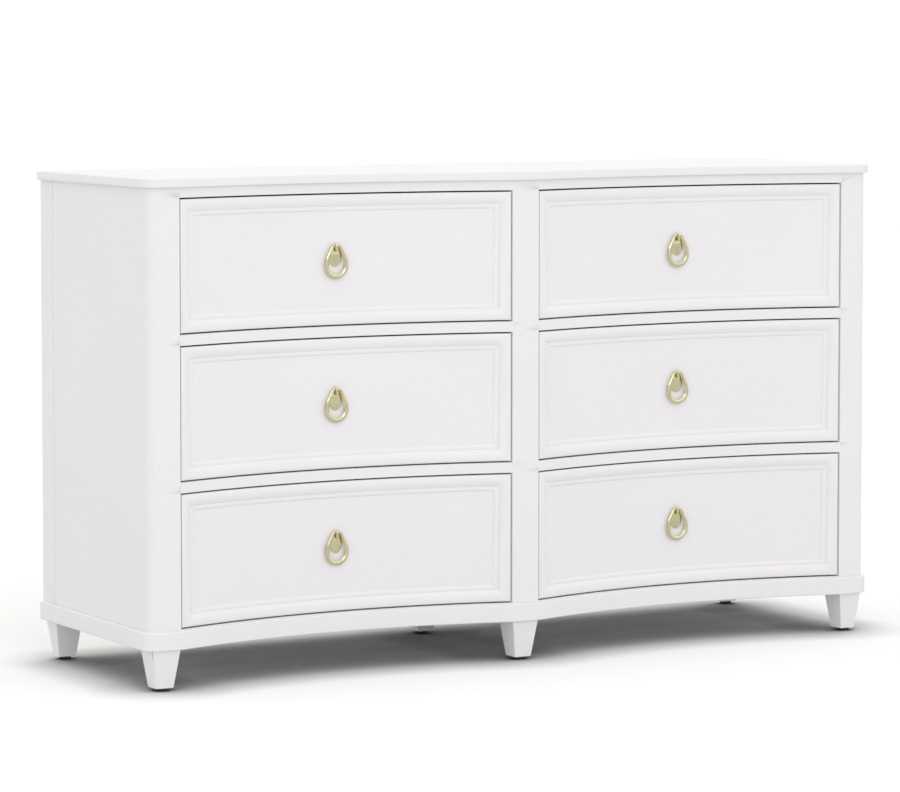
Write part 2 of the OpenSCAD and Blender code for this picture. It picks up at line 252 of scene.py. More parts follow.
def make_room():
    world = bpy.data.worlds.new("white_room")
    world.use_nodes = True
    tree = world.node_tree
    tree.nodes.clear()
    way = put(tree, "ShaderNodeSeparateXYZ", {
        0: put(tree, "ShaderNodeTexCoord").outputs["Generated"]}).outputs
    up = put(tree, "ShaderNodeMapRange", {
        "Value": way["Z"], "From Min": 0.0, "From Max": 0.75, "To Min": HORIZON,
        "To Max": ZENITH}, interpolation_type="SMOOTHSTEP")
    left = put(tree, "ShaderNodeMapRange", {
        "Value": way["X"], "From Min": -0.62, "From Max": -0.8, "To Max": FLAG_DARK},
        interpolation_type="SMOOTHSTEP")
    low = put(tree, "ShaderNodeMapRange", {
        "Value": way["Z"], "From Min": 0.6, "From Max": 0.3}, interpolation_type="SMOOTHSTEP")
    ray = put(tree, "ShaderNodeLightPath").outputs
    flag = math_node(tree, "MULTIPLY", math_node(
        tree, "MULTIPLY", left.outputs[0], low.outputs[0]), ray["Is Glossy Ray"])
    lit = math_node(tree, "MULTIPLY", up.outputs[0], math_node(tree, "SUBTRACT", 1.0, flag))
    seen = put(tree, "ShaderNodeMix", {
        "Factor": ray["Is Camera Ray"], "A": lit, "B": BACKDROP}, data_type="FLOAT")
    light = put(tree, "ShaderNodeBackground", {
        "Color": (1, 1, 1, 1), "Strength": seen.outputs[0]})
    put(tree, "ShaderNodeOutputWorld", {"Surface": light.outputs[0]})
    bpy.context.scene.world = world


def soft_light(name, at, size, watts):
    """A square soft box that looks at the middle of the dresser."""
    data = bpy.data.lights.new(name, "AREA")
    data.size = size
    data.energy = watts
    light = placed(name, data)
    light.location = at
    aim = (cad_lo + cad_hi) / 2 - Vector(at)
    light.rotation_euler = aim.to_track_quat("-Z", "Y").to_euler()


make_floor()
make_room()
soft_light("key", KEY_AT, KEY_SIZE, KEY_WATTS)
bpy.context.scene.view_settings.view_transform = "Standard"
print("studio: floor, room and one soft box")

# %% [markdown]
# ## The sprayed lacquer
# White lacquer goes on with a spray gun. It dries with a faint orange peel, a dimpling a few
# millimetres across, over a slower waviness of the board beneath, and its gloss isn't quite
# even. The dimples could be modelled, but they are only microns deep, so they are bump.
# One group gives that skin to every painted piece: a height for the bump, a tone for the
# colour and a roughness. The pattern reads object coordinates, in metres.

# %% Group: lacquer skin
def make_lacquer_skin():
    group, given = open_group(
        "lacquer_skin", "ShaderNodeTree",
        [("Vector", "NodeSocketVector", None), ("Peel", "NodeSocketFloat", 420.0),
         ("Wave", "NodeSocketFloat", 34.0), ("Gloss", "NodeSocketFloat", 0.34)],
        [("Height", "NodeSocketFloat"), ("Tone", "NodeSocketFloat"),
         ("Roughness", "NodeSocketFloat")])
    peel = noise(group, given["Vector"], given["Peel"], 1.5)
    wave = noise(group, given["Vector"], given["Wave"], 1.0)
    cloud = noise(group, given["Vector"], 5.0, 3.0)
    height = math_node(group, "ADD", math_node(group, "MULTIPLY", peel, 0.35), wave)
    tone = put(group, "ShaderNodeMapRange", {
        "Value": cloud, "From Min": 0.3, "From Max": 0.7, "To Min": 0.985, "To Max": 1.0})
    spread = put(group, "ShaderNodeMapRange", {
        "Value": cloud, "From Min": 0.3, "From Max": 0.7, "To Min": -0.04, "To Max": 0.04})
    gloss = math_node(group, "ADD", given["Gloss"], spread.outputs[0])
    return close_group(group, Height=height, Tone=tone.outputs[0], Roughness=gloss)


lacquer_skin = make_lacquer_skin()

# %% [markdown]
# ## Wood figure
# The drawer boxes are birch, their bottoms and the back are thin plywood, and the packers behind
# the slides are softwood. All of them are wood cut along the grain, and differ in colour and
# in how wide the growth bands are. The group reads a vector whose first number runs along the
# grain, which every wooden piece carries as an attribute, since in one box the sides run one
# way and the back another. Bands come from a wave that noise bends, and pores from fine
# noise stretched along the grain.

# %% Group: wood figure
def make_wood_figure():
    group, given = open_group(
        "wood_figure", "ShaderNodeTree",
        [("Grain", "NodeSocketVector", None), ("Light", "NodeSocketColor", (1, 1, 1, 1)),
         ("Dark", "NodeSocketColor", (0.5, 0.5, 0.5, 1)), ("Bands", "NodeSocketFloat", 14.0)],
        [("Color", "NodeSocketColor"), ("Roughness", "NodeSocketFloat"),
         ("Height", "NodeSocketFloat")])
    flat = stretched(group, given["Grain"], (0.10, 1.0, 1.0))
    band = put(group, "ShaderNodeTexWave", {
        "Vector": flat, "Scale": given["Bands"], "Distortion": 5.0, "Detail": 2.0,
        "Detail Scale": 1.4}, bands_direction="Y").outputs["Fac"]
    pore_way = stretched(group, given["Grain"], (0.035, 1.0, 1.0))
    pore = noise(group, pore_way, 900.0, 2.0)
    fleck = put(group, "ShaderNodeMapRange", {
        "Value": pore, "From Min": 0.52, "From Max": 0.72, "To Min": 0.0, "To Max": 0.5})
    amount = math_node(group, "ADD", math_node(group, "MULTIPLY", band, 0.55),
                       fleck.outputs[0])
    colour = put(group, "ShaderNodeMix", {
        "Factor": amount, "A": given["Light"], "B": given["Dark"]}, data_type="RGBA")
    rough = put(group, "ShaderNodeMapRange", {
        "Value": amount, "To Min": 0.42, "To Max": 0.6})
    return close_group(group, Color=colour.outputs["Result"], Roughness=rough.outputs[0],
                       Height=pore)


wood_figure = make_wood_figure()

# %% [markdown]
# ## Handled metal
# Brass, zinc plate and the steel of the balls all keep fine marks from polishing and from
# fingers. The group gives a cloudy mask of where the metal has been handled, a roughness that
# follows the mask from smooth to dull, and a height of hairline marks. The metals differ in
# colour and in how smooth and how dull they get, so one group serves them all.

# %% Group: handled metal
def make_handled_metal():
    group, given = open_group(
        "handled_metal", "ShaderNodeTree",
        [("Vector", "NodeSocketVector", None), ("Patch", "NodeSocketFloat", 60.0),
         ("Smooth", "NodeSocketFloat", 0.1), ("Dull", "NodeSocketFloat", 0.3)],
        [("Mask", "NodeSocketFloat"), ("Roughness", "NodeSocketFloat"),
         ("Height", "NodeSocketFloat")])
    patch = noise(group, given["Vector"], given["Patch"], 4.0)
    mask = put(group, "ShaderNodeMapRange", {
        "Value": patch, "From Min": 0.42, "From Max": 0.66}).outputs[0]
    rough = put(group, "ShaderNodeMix", {
        "Factor": mask, "A": given["Smooth"], "B": given["Dull"]}, data_type="FLOAT")
    long_way = stretched(group, given["Vector"], (1.0, 0.06, 1.0))
    hair = noise(group, long_way, 4200.0, 1.0)
    return close_group(group, Mask=mask, Roughness=rough.outputs["Result"], Height=hair)


handled_metal = make_handled_metal()

# %% [markdown]
# ## Finishes
# Each finish is a Principled shader fed by one of the groups. Numbers that are the same all
# over, such as how metallic brass is, are set on the shader itself. What changes over the
# surface comes from the group, and fine relief goes through a Bump node into the normal.

# %% Finishes from the groups
def finish(name, shared=None, inputs=None, coordinates="Object"):
    """Starts a finish: its tree, its shader and the outputs of the shared group in it, or
    the coordinates where it has no group."""
    material = bpy.data.materials.new(name)
    material.use_nodes = True
    tree = material.node_tree
    shader = tree.nodes["Principled BSDF"]
    if coordinates == "Object":
        where = put(tree, "ShaderNodeTexCoord").outputs["Object"]
    else:
        where = put(tree, "ShaderNodeAttribute", attribute_name=coordinates).outputs["Vector"]
    if shared is None:
        return material, tree, shader, where
    effect = put(tree, "ShaderNodeGroup", node_tree=shared)
    tree.links.new(where, effect.inputs[0])
    for socket, value in (inputs or {}).items():
        effect.inputs[socket].default_value = value
    tree.links.new(effect.outputs["Roughness"], shader.inputs["Roughness"])
    return material, tree, shader, effect.outputs


def relief(tree, shader, height, depth):
    """Raises the surface by `height` times `depth` metres."""
    bump = put(tree, "ShaderNodeBump", {"Height": height, "Strength": 1.0, "Distance": depth})
    tree.links.new(bump.outputs[0], shader.inputs["Normal"])


def painted(name, colour, gloss, peel_depth=0.006 * MM):
    material, tree, shader, skin = finish(name, lacquer_skin, {"Gloss": gloss})
    tint = put(tree, "ShaderNodeMix", {
        "Factor": 1.0, "A": (*colour, 1), "B": skin["Tone"]}, data_type="RGBA",
        blend_type="MULTIPLY")
    tree.links.new(tint.outputs["Result"], shader.inputs["Base Color"])
    shader.inputs["Specular IOR Level"].default_value = 0.45
    relief(tree, shader, skin["Height"], peel_depth)
    return material


def wooden(name, light, dark, bands, pore_depth=0.02 * MM):
    material, tree, shader, wood = finish(
        name, wood_figure, {"Light": (*light, 1), "Dark": (*dark, 1), "Bands": bands}, "grain")
    tree.links.new(wood["Color"], shader.inputs["Base Color"])
    relief(tree, shader, wood["Height"], pore_depth)
    return material


def metal(name, colour, marked, smooth, dull, mark_depth=0.002 * MM):
    material, tree, shader, wear = finish(name, handled_metal,
                                          {"Smooth": smooth, "Dull": dull})
    tint = put(tree, "ShaderNodeMix", {
        "Factor": wear["Mask"], "A": (*colour, 1), "B": (*marked, 1)}, data_type="RGBA")
    tree.links.new(tint.outputs["Result"], shader.inputs["Base Color"])
    shader.inputs["Metallic"].default_value = 1.0
    relief(tree, shader, wear["Height"], mark_depth)
    return material


def nylon(name, colour):
    """Moulded nylon: matt, with the fine grit of a spark-eroded mould."""
    material, tree, shader, where = finish(name)
    grit = noise(tree, where, 1600.0, 2.0)
    rough = put(tree, "ShaderNodeMapRange", {"Value": grit, "To Min": 0.4, "To Max": 0.62})
    tree.links.new(rough.outputs[0], shader.inputs["Roughness"])
    tone = put(tree, "ShaderNodeMix", {
        "Factor": grit, "A": (*colour, 1), "B": (*[2 * c for c in colour], 1)},
        data_type="RGBA")
    tree.links.new(tone.outputs["Result"], shader.inputs["Base Color"])
    relief(tree, shader, grit, 0.03 * MM)
    return material


FINISHES = {
    "white_paint": painted("white_lacquer", (0.862, 0.846, 0.862), 0.36),
    "case_board": painted("sealed_board", (0.80, 0.79, 0.77), 0.55, 0.012 * MM),
    "back_board": wooden("back_ply", (0.62, 0.51, 0.37), (0.55, 0.43, 0.30), 3.0),
    "drawer_wood": wooden("birch", (0.80, 0.68, 0.50), (0.66, 0.51, 0.33), 16.0),
    "drawer_ply": wooden("birch_ply", (0.82, 0.71, 0.54), (0.69, 0.55, 0.37), 7.0),
    "packer_wood": wooden("softwood", (0.78, 0.65, 0.44), (0.62, 0.43, 0.23), 30.0),
    "slide_steel": metal("zinc_plate", (0.62, 0.64, 0.67), (0.52, 0.53, 0.55), 0.28, 0.42),
    "pull_brass": metal("pale_brass", (0.76, 0.71, 0.45), (0.69, 0.64, 0.40), 0.08, 0.17),
    "glide_plastic": nylon("black_nylon", (0.012, 0.012, 0.013)),
}
ball_steel = metal("ball_steel", (0.72, 0.73, 0.75), (0.66, 0.66, 0.67), 0.06, 0.12)
print("finishes", sorted(FINISHES))

# %% [markdown]
# ## Making pieces
# A piece is made at its place in the frame, rides on the body it is fixed to, and stands for the
# CAD nodes that it shows better. Modifiers do the rounding and the cutting, as they are steps
# that a maker would know, and then they are turned into a plain mesh.

# %% Piece helpers
SHARP = math.radians(32)
CRISP = math.radians(50)


def piece(name, mesh, slot, body, *nodes, material=None):
    """Puts a mesh in the scene as a finished piece on a body, in place of the CAD nodes."""
    mesh.materials.clear()
    mesh.materials.append(material or FINISHES[slot])
    obj = placed(name, mesh)
    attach(obj, body)
    if nodes:
        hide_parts(*nodes)


def applied(mesh, *modifiers):
    """The mesh with modifiers run on it: each is (type, {setting: value})."""
    carrier = placed("carrier", mesh)
    for kind, settings in modifiers:
        modifier = carrier.modifiers.new(kind.lower(), kind)
        for name, value in settings.items():
            setattr(modifier, name, value)
    return settled(carrier)


def settled(carrier):
    """The plain mesh that an object's modifiers give. The object is removed."""
    graph = bpy.context.evaluated_depsgraph_get()
    mesh = bpy.data.meshes.new_from_object(
        carrier.evaluated_get(graph), preserve_all_data_layers=True, depsgraph=graph)
    bpy.data.objects.remove(carrier)
    return mesh


def smoothed(mesh, sharp=SHARP):
    """Shades a mesh smooth, with the edges over the sharp angle kept crisp."""
    mesh.polygons.foreach_set("use_smooth", [True] * len(mesh.polygons))
    mesh.set_sharp_from_angle(angle=sharp)
    return mesh


def mesh_of(name, build, sharp=SHARP):
    """A smoothed mesh from build(bm)."""
    bm = bmesh.new()
    build(bm)
    mesh = bpy.data.meshes.new(name)
    bm.to_mesh(mesh)
    bm.free()
    return smoothed(mesh, sharp)


def with_flat_faces(mesh):
    """Smooth shading that leaves the broad faces flat and the unrounded edges crisp."""
    return applied(smoothed(mesh, CRISP), ("WEIGHTED_NORMAL", {"keep_sharp": True}))


# %% [markdown]
# ## Eased edges
# No painted edge is a knife edge: sandpaper takes it down to a small round before the lacquer
# goes on, and that round is the bright line that the eye reads as an edge. A copy of each CAD
# node is merged and its sharp edges are rounded, except where two parts are glued flush, since
# a round there would open a groove in what the painter filled. Weighted normals keep the
# broad faces flat.

# %% Round the edges of a CAD node
MERGE = 0.01 * MM
FLAT = math.radians(0.5)
NEAR = 0.05 * MM


def flush_joint(places):
    """A test for edges that lie in a glued joint: places are (axis, value)."""
    def lies_in_joint(edge):
        return any(all(abs(v.co[axis] - value) < NEAR for v in edge.verts)
                   for axis, value in places)
    return lies_in_joint


def eased_mesh(node, width, keep=lambda edge: False, cuts=()):
    """A merged copy of a CAD node with sharp edges rounded, cut first at the heights in cuts."""
    bm = bmesh.new()
    bm.from_mesh(frame["nodes"][node].data)
    bmesh.ops.remove_doubles(bm, verts=bm.verts, dist=MERGE)
    bmesh.ops.dissolve_limit(bm, angle_limit=FLAT, verts=bm.verts, edges=bm.edges)
    for z in cuts:
        bmesh.ops.bisect_plane(bm, geom=[*bm.verts, *bm.edges, *bm.faces],
                               plane_co=(0, 0, z), plane_no=(0, 0, 1))
    weight = bm.edges.layers.float.new("bevel_weight_edge")
    for edge in bm.edges:
        if len(edge.link_faces) == 2 and edge.calc_face_angle() > SHARP and not keep(edge):
            edge[weight] = 1.0
    mesh = bpy.data.meshes.new(node)
    bm.to_mesh(mesh)
    bm.free()
    if "custom_normal" in mesh.attributes:
        mesh.attributes.remove(mesh.attributes["custom_normal"])
    rounded = applied(mesh, ("BEVEL", {"limit_method": "WEIGHT", "width": width,
                                       "segments": 3}))
    return with_flat_faces(rounded)


# %% [markdown]
# ## The painted case
# The posts, stile and rails make one flush face frame, so their ends stay sharp where they
# meet, and the inner edges of the posts are rounded only beside the openings. The top and the
# base moulding stand proud, and have a rounder edge that a router cut. The boards could be
# modelled again, but the CAD model holds their true shape, so each keeps it and gets its edge.

# %% Posts, rails, panels, top and base
EASE = 0.8 * MM
SANDED = 0.5 * MM
ROUTED = 2.0 * MM
floor_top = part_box("floor_panel")[1].z
top_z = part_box("top_panel")[0].z
panel_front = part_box("side_panel_right")[0].y
rail_zs = [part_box("top_rails")[0].z]
rail_zs += sorted({round(v.co.z, 5) for v in frame["nodes"]["drawer_rails"].data.vertices})
ENDS = [(2, floor_top), (2, top_z)]
CASE = {
    "front_post_left": (EASE, ENDS + [(1, panel_front)], rail_zs),
    "front_post_right": (EASE, ENDS + [(1, panel_front)], rail_zs),
    "centre_stile": (EASE, ENDS, rail_zs),
    "side_panel_left": (SANDED, ENDS + [(1, panel_front)], ()),
    "side_panel_right": (SANDED, ENDS + [(1, panel_front)], ()),
    "back_posts": (EASE, ENDS, ()),
    "top_rails": (EASE, [(2, top_z)], ()),
    "drawer_rails": (EASE, [], ()),
    "floor_panel": (SANDED, [], ()),
    "top_panel": (ROUTED, [], ()),
    "base_moulding": (ROUTED, [], ()),
    "front_legs": (EASE, [], ()),
    "back_legs": (EASE, [], ()),
}


def beside_a_rail(edge):
    """True for the stretch of a post's edge that a rail is glued to."""
    middle = (edge.verts[0].co + edge.verts[1].co) / 2
    if abs(middle.y - face_y) > NEAR or middle.z < floor_top:
        return False
    spans = [(rail_zs[0], top_z), (rail_zs[1], rail_zs[2]), (rail_zs[3], rail_zs[4])]
    return any(low < middle.z < high for low, high in spans)


def rail_end(edge):
    """True for the upright edges at the ends of a rail."""
    way = edge.verts[1].co - edge.verts[0].co
    return abs(way.z) > max(abs(way.x), abs(way.y))


def ease_case():
    for node, (width, places, cuts) in CASE.items():
        in_joint = flush_joint(places)
        extra = {"top_rails": rail_end, "drawer_rails": rail_end}.get(node, beside_a_rail)
        rounds = eased_mesh(node, width, lambda e: in_joint(e) or extra(e), cuts)
        piece(f"{node}_eased", rounds, "white_paint", "carcass", node)


ease_case()
print("eased", len(CASE), "painted parts of the case")

# %% [markdown]
# ## Drawer fronts
# A drawer front is glued up, sawn to the bow and then run past a moulding cutter on all four
# edges, so one outline runs round it and meets itself in a mitre at each corner: a crowned
# border, a small quirk, a bead, and a flat field. The mesh copies that: the outline is
# worked out once, each of its points becomes a loop round the front, and every loop is bent to
# the bow. A groove for the drawer bottom is cut across the back.

# %% Outline of the moulded edge
CREST_IN = 9 * MM
CREST_DROP = 1.8 * MM
BORDER_W = 20.5 * MM
BORDER_DROP = 3.4 * MM
BEAD_IN = 21 * MM
BEAD_MIDDLE = 24.5 * MM
BEAD_HALF = 5 * MM
BEAD_RISE = 2.1 * MM
FIELD_D = 6 * MM


def crown(inset):
    """Depth of the crowned border below its crest."""
    if inset < CREST_IN:
        return CREST_DROP * ((CREST_IN - inset) / CREST_IN) ** 3.5
    return BORDER_DROP * ((inset - CREST_IN) / (BORDER_W - CREST_IN)) ** 2


def moulding_outline(outer=8, inner=7, bead=9):
    """Points (inset, depth) from the edge of a front to its field."""
    points = [(CREST_IN * (i / outer) ** 1.5, 0) for i in range(outer + 1)]
    points += [(CREST_IN + (BORDER_W - CREST_IN) * i / inner, 0) for i in range(1, inner + 1)]
    points = [(inset, crown(inset)) for inset, _ in points]
    start = math.acos((BEAD_MIDDLE - BEAD_IN) / BEAD_HALF)
    for i in range(bead + 1):
        a = start + (math.pi - start) * i / bead
        points.append((BEAD_MIDDLE - BEAD_HALF * math.cos(a), FIELD_D - BEAD_RISE * math.sin(a)))
    return points


OUTLINE = moulding_outline()
print("moulding outline of", len(OUTLINE), "points")

# %% Mesh of a drawer front
COLUMNS = 40
QUIRK = math.radians(28)
GROOVE_D = 6 * MM
GROOVE_PLAY = 0.2 * MM


class BentFront:
    """Builds one drawer front: loops of the moulding bent to the bow, and a grooved back."""

    def __init__(self, bm, bay, row):
        self.bm = bm
        self.bay_x = BAY_X[bay]
        self.lo, self.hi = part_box(f"drawer_front_{bay}_{row}")
        self.behind = self.hi.y - bow_y(0)
        self.slot_lo, self.slot_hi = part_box(f"drawer_bottom_{bay}_{row}")
        width = self.hi.x - self.lo.x
        slot = [(self.slot_lo.x - GROOVE_PLAY - self.lo.x) / width,
                (self.slot_hi.x + GROOVE_PLAY - self.lo.x) / width]
        self.ts = sorted([i / COLUMNS for i in range(COLUMNS + 1)] + slot)
        self.slot_from, self.slot_to = (self.ts.index(t) for t in slot)

    def vert(self, x, z, depth):
        return self.bm.verts.new((x, bow_y(x - self.bay_x, depth), z))

    def row_of(self, z, depth, inset=0.0):
        """A row of vertices along the front at one height."""
        x0, x1 = self.lo.x + inset, self.hi.x - inset
        return [self.vert(x0 + (x1 - x0) * t, z, depth) for t in self.ts]

    def strip(self, below, above, first=0, last=None):
        last = len(self.ts) - 1 if last is None else last
        for i in range(first, last):
            self.bm.faces.new((below[i], below[i + 1], above[i + 1], above[i]))

    def build(self):
        loops = [(self.row_of(self.lo.z + inset, depth, inset),
                  self.row_of(self.hi.z - inset, depth, inset)) for inset, depth in OUTLINE]
        for (low, high), (low_in, high_in) in zip(loops, loops[1:]):
            self.strip(low, low_in)
            self.strip(high_in, high)
            self.bm.faces.new((low[0], low_in[0], high_in[0], high[0]))
            self.bm.faces.new((low_in[-1], low[-1], high[-1], high_in[-1]))
        self.strip(*loops[-1])
        self.build_back(*loops[0])
        for (low, high), (low_in, high_in) in zip(loops, loops[1:]):
            for a, b in zip((low, low, high, high), (low_in, low_in, high_in, high_in)):
                for end in (0, -1):
                    self.bm.edges.get((a[end], b[end])).smooth = False

    def build_back(self, low, high):
        z0, z1 = self.slot_lo.z - GROOVE_PLAY, self.slot_hi.z + GROOVE_PLAY
        rows = [self.row_of(z, self.behind) for z in (self.lo.z, z0, z1, self.hi.z)]
        self.strip(rows[0], low)
        self.strip(high, rows[3])
        self.strip(rows[1], rows[0])
        self.strip(rows[3], rows[2])
        first, last = self.slot_from, self.slot_to
        self.strip(rows[2], rows[1], 0, first)
        self.strip(rows[2], rows[1], last)
        deep = [self.row_of(z, self.behind - GROOVE_D) for z in (z0, z1)]
        self.strip(deep[0], rows[1], first, last)
        self.strip(rows[2], deep[1], first, last)
        self.strip(deep[1], deep[0], first, last)
        for i, flip in ((first, 1), (last, -1)):
            ends = (rows[1][i], deep[0][i], deep[1][i], rows[2][i])
            self.bm.faces.new(ends[::flip])
        for i, flip in ((0, 1), (-1, -1)):
            ends = (low[i], high[i], rows[3][i], rows[2][i], rows[1][i], rows[0][i])
            self.bm.faces.new(ends[::flip])
        loose = [v for v in self.bm.verts if not v.link_faces]
        bmesh.ops.delete(self.bm, geom=loose, context="VERTS")


def make_front(bay, row):
    mesh = mesh_of(f"front_{bay}_{row}", lambda bm: BentFront(bm, bay, row).build(),
                   sharp=QUIRK)
    piece(f"front_moulded_{bay}_{row}", mesh, "white_paint", f"drawer_{bay}_{row}",
          f"drawer_front_{bay}_{row}")
    return len(mesh.polygons)


faces = [make_front(bay, row) for bay in BAYS for row in ROWS]
print("drawer fronts", len(faces), "of", faces[0], "faces")

# %% [markdown]
# ## Drawer boxes
# The boxes are clear-finished birch: two sides and a back, with a plywood bottom that slides
# in a groove. The boards keep their CAD shape with lightly eased edges. What they add is
# the way the grain runs, which is stored on each point as a vector that starts along the
# board: along Y on the sides, and along X on the back and the bottom.

# %% Boxes, bottoms and packers with their grain
WOOD_EASE = 0.6 * MM
BOX_SIDE = 12.1 * MM


def lay_grain(mesh, along):
    """Stores on each point where it lies along, across and through its board."""
    grain = mesh.attributes.new("grain", "FLOAT_VECTOR", "POINT")
    for v, spot in zip(mesh.vertices, grain.data):
        x, y, z = v.co
        spot.vector = (y, z, x * 7) if along(v.co) == "Y" else (x, z + y, y * 7)


def wooden_piece(name, node, slot, body, along):
    mesh = eased_mesh(node, WOOD_EASE)
    lay_grain(mesh, along)
    piece(name, mesh, slot, body, node)


def box_grain(bay, row):
    """The sides of a box run along Y, and its back along X."""
    lo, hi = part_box(f"drawer_box_{bay}_{row}")
    return lambda p: "Y" if min(p.x - lo.x, hi.x - p.x) < BOX_SIDE else "X"


for bay in BAYS:
    for row in ROWS:
        tag, body = f"{bay}_{row}", f"drawer_{bay}_{row}"
        wooden_piece(f"box_boards_{tag}", f"drawer_box_{tag}", "drawer_wood", body,
                     box_grain(bay, row))
        wooden_piece(f"box_bottom_{tag}", f"drawer_bottom_{tag}", "drawer_ply", body,
                     lambda p: "X")
wooden_piece("packer_blocks", "slide_packers", "packer_wood", "carcass", lambda p: "Y")
print("wooden pieces", 2 * len(DRAWERS) + 1)

# %% [markdown]
# ## Pulls: the cast base
# Each pull is a polished brass oval, domed towards its middle. A turned eye stands off it on a
# short stem and ends in a drop. The oval is a stack of ellipses, and the eye and the stem are
# turned shapes. Booleans join them and bore the hole that the ring hangs in, as the foundry and
# the drill would, which leaves one skin where separate shapes would run through each other.
# All six pulls are the same casting, so it's made once and set down six times.

# %% Turned shapes and Booleans
def skin(bm, loops):
    """Closes a surface over a stack of loops of points. A loop of one point is a pole."""
    rings = [[bm.verts.new(point) for point in loop] for loop in loops]
    steps = max(len(ring) for ring in rings)
    for low, high in zip(rings, rings[1:]):
        for i in range(steps):
            j = (i + 1) % steps
            corners = (low[i % len(low)], low[j % len(low)],
                       high[j % len(high)], high[i % len(high)])
            bm.faces.new(list(dict.fromkeys(corners)))


def oval(a, b, h, steps):
    """A loop of points on an ellipse at height h. Without a size it is a pole."""
    turns = [math.tau * i / steps for i in range(steps if a or b else 1)]
    return [Vector((a * math.cos(t), b * math.sin(t), h)) for t in turns]


def turned(outline, place=Matrix(), steps=32):
    """Loops of a turned shape about Z, from an outline of (radius, height)."""
    return [[place @ point for point in oval(r, r, h, steps)] for r, h in outline]


def closed_mesh(name, loops):
    return mesh_of(name, lambda bm: skin(bm, loops))


def combined(mesh, *steps):
    """Runs Booleans on a mesh one after the other: each step is (operation, mesh)."""
    carrier = placed("carrier", mesh)
    tools = []
    for operation, other in steps:
        tools.append(placed("tool", other))
        join = carrier.modifiers.new(operation.lower(), "BOOLEAN")
        join.operation, join.object, join.solver = operation, tools[-1], "EXACT"
    made = settled(carrier)
    for tool in tools:
        bpy.data.objects.remove(tool)
    return made


# %% Cast base of a pull
PLATE_H = 40 * MM
PLATE_EDGE = 0.7 * MM
PLATE_ROUND = 1.2 * MM
PLATE_DOME = 1.2 * MM
EYE_R = 4.2 * MM
BORE_R = 2.4 * MM
STEM_R = 2.9 * MM
DROP_LEAN = math.radians(8)
SHANK_R = 2 * MM
FOOT_R = 4.9 * MM
NECK_FROM = 35
NECK = [(3.05 * MM, 3.8 * MM), (2.75 * MM, 5.4 * MM), (2.6 * MM, 7.0 * MM)]
TIP_R = 2.6 * MM
TIP_AT = 8.3 * MM
SHOWN = DRAWERS[0]

base_lo, base_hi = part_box(f"pull_base_{SHOWN}")
plate_w = base_hi.x - base_lo.x
PIVOTS = {tag: Vector(JOINTS[f"ring_{tag}_swing"]["pos_m"]) for tag in DRAWERS}
seat_y = bow_y(plate_w / 2, FIELD_D)
seat = PIVOTS[SHOWN].y - seat_y
plate_up = base_lo.z + PLATE_H / 2 - PIVOTS[SHOWN].z
front_back = PIVOTS[SHOWN].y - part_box(f"drawer_front_{SHOWN}")[1].y


def plate_loops(round_steps=5, dome_steps=9, steps=72):
    """The oval plate, from its flat back to the top of its dome."""
    a, b = plate_w / 2, PLATE_H / 2
    sizes = [(0, 0, 0), (a, b, 0), (a, b, PLATE_EDGE)]
    for i in range(1, round_steps + 1):
        turn = math.pi / 2 * i / round_steps
        inset = PLATE_ROUND * (1 - math.cos(turn))
        sizes.append((a - inset, b - inset, PLATE_EDGE + PLATE_ROUND * math.sin(turn)))
    a, b, rim = sizes[-1]
    for i in range(1, dome_steps + 1):
        share = 1 - i / dome_steps
        sizes.append((a * share, b * share, rim + PLATE_DOME * (1 - share ** 2)))
    loops = [oval(a, b, h, steps) for a, b, h in sizes]
    return [[point + Vector((0, plate_up, seat)) for point in loop] for loop in loops]


def drop_outline(steps=8):
    """The eye's ball, which runs out into a drop with a round tip: (radius, distance down)."""
    outline = [(0, -EYE_R)]
    for i in range(1, steps + 1):
        turn = math.radians(-90 + (90 + NECK_FROM) * i / steps)
        outline.append((EYE_R * math.cos(turn), EYE_R * math.sin(turn)))
    outline += NECK
    for i in range(steps):
        turn = math.pi / 2 * i / (steps - 1)
        outline.append((TIP_R * math.cos(turn) if i < steps - 1 else 0,
                        TIP_AT + TIP_R * math.sin(turn)))
    return outline


def make_pull_base():
    """The casting, with the pivot at the origin, its width along X, its height along Y."""
    plate = closed_mesh("pull_plate", plate_loops())
    face = seat + PLATE_EDGE + PLATE_ROUND
    foot = [(0, face - MM), (FOOT_R, face - MM), (FOOT_R - 0.3 * MM, face + 0.5 * MM),
            (3.6 * MM, face + 1.1 * MM), (STEM_R, face + 2 * MM), (STEM_R, 0), (0, 0)]
    stem = closed_mesh("pull_stem", turned(foot))
    lean = Matrix.Rotation(math.pi / 2 - DROP_LEAN, 4, "X")
    drop = closed_mesh("pull_drop", turned(drop_outline(), lean))
    across = Matrix.Rotation(math.pi / 2, 4, "Y")
    reach = 3 * EYE_R
    bore = closed_mesh("pull_bore", turned(
        [(0, -reach), (BORE_R, -reach), (BORE_R, reach), (0, reach)], across))
    shank = closed_mesh("pull_shank", turned(
        [(0, front_back), (SHANK_R, front_back), (SHANK_R, seat + MM), (0, seat + MM)]))
    return smoothed(combined(
        plate, ("UNION", stem), ("UNION", drop), ("DIFFERENCE", bore), ("UNION", shank)))


def set_down(mesh, tag):
    """A copy of a pull's mesh at the pivot of one drawer, turned to face the front."""
    copy = mesh.copy()
    copy.transform(Matrix.Translation(PIVOTS[tag]) @ Matrix.Rotation(math.pi / 2, 4, "X"))
    return copy


pull_base = make_pull_base()
for tag in DRAWERS:
    piece(f"pull_plate_{tag}", set_down(pull_base, tag), "pull_brass", f"drawer_{tag}",
          f"pull_base_{tag}")
print("pull base", len(pull_base.polygons), "faces, plate", round(plate_w, 4), "m wide")

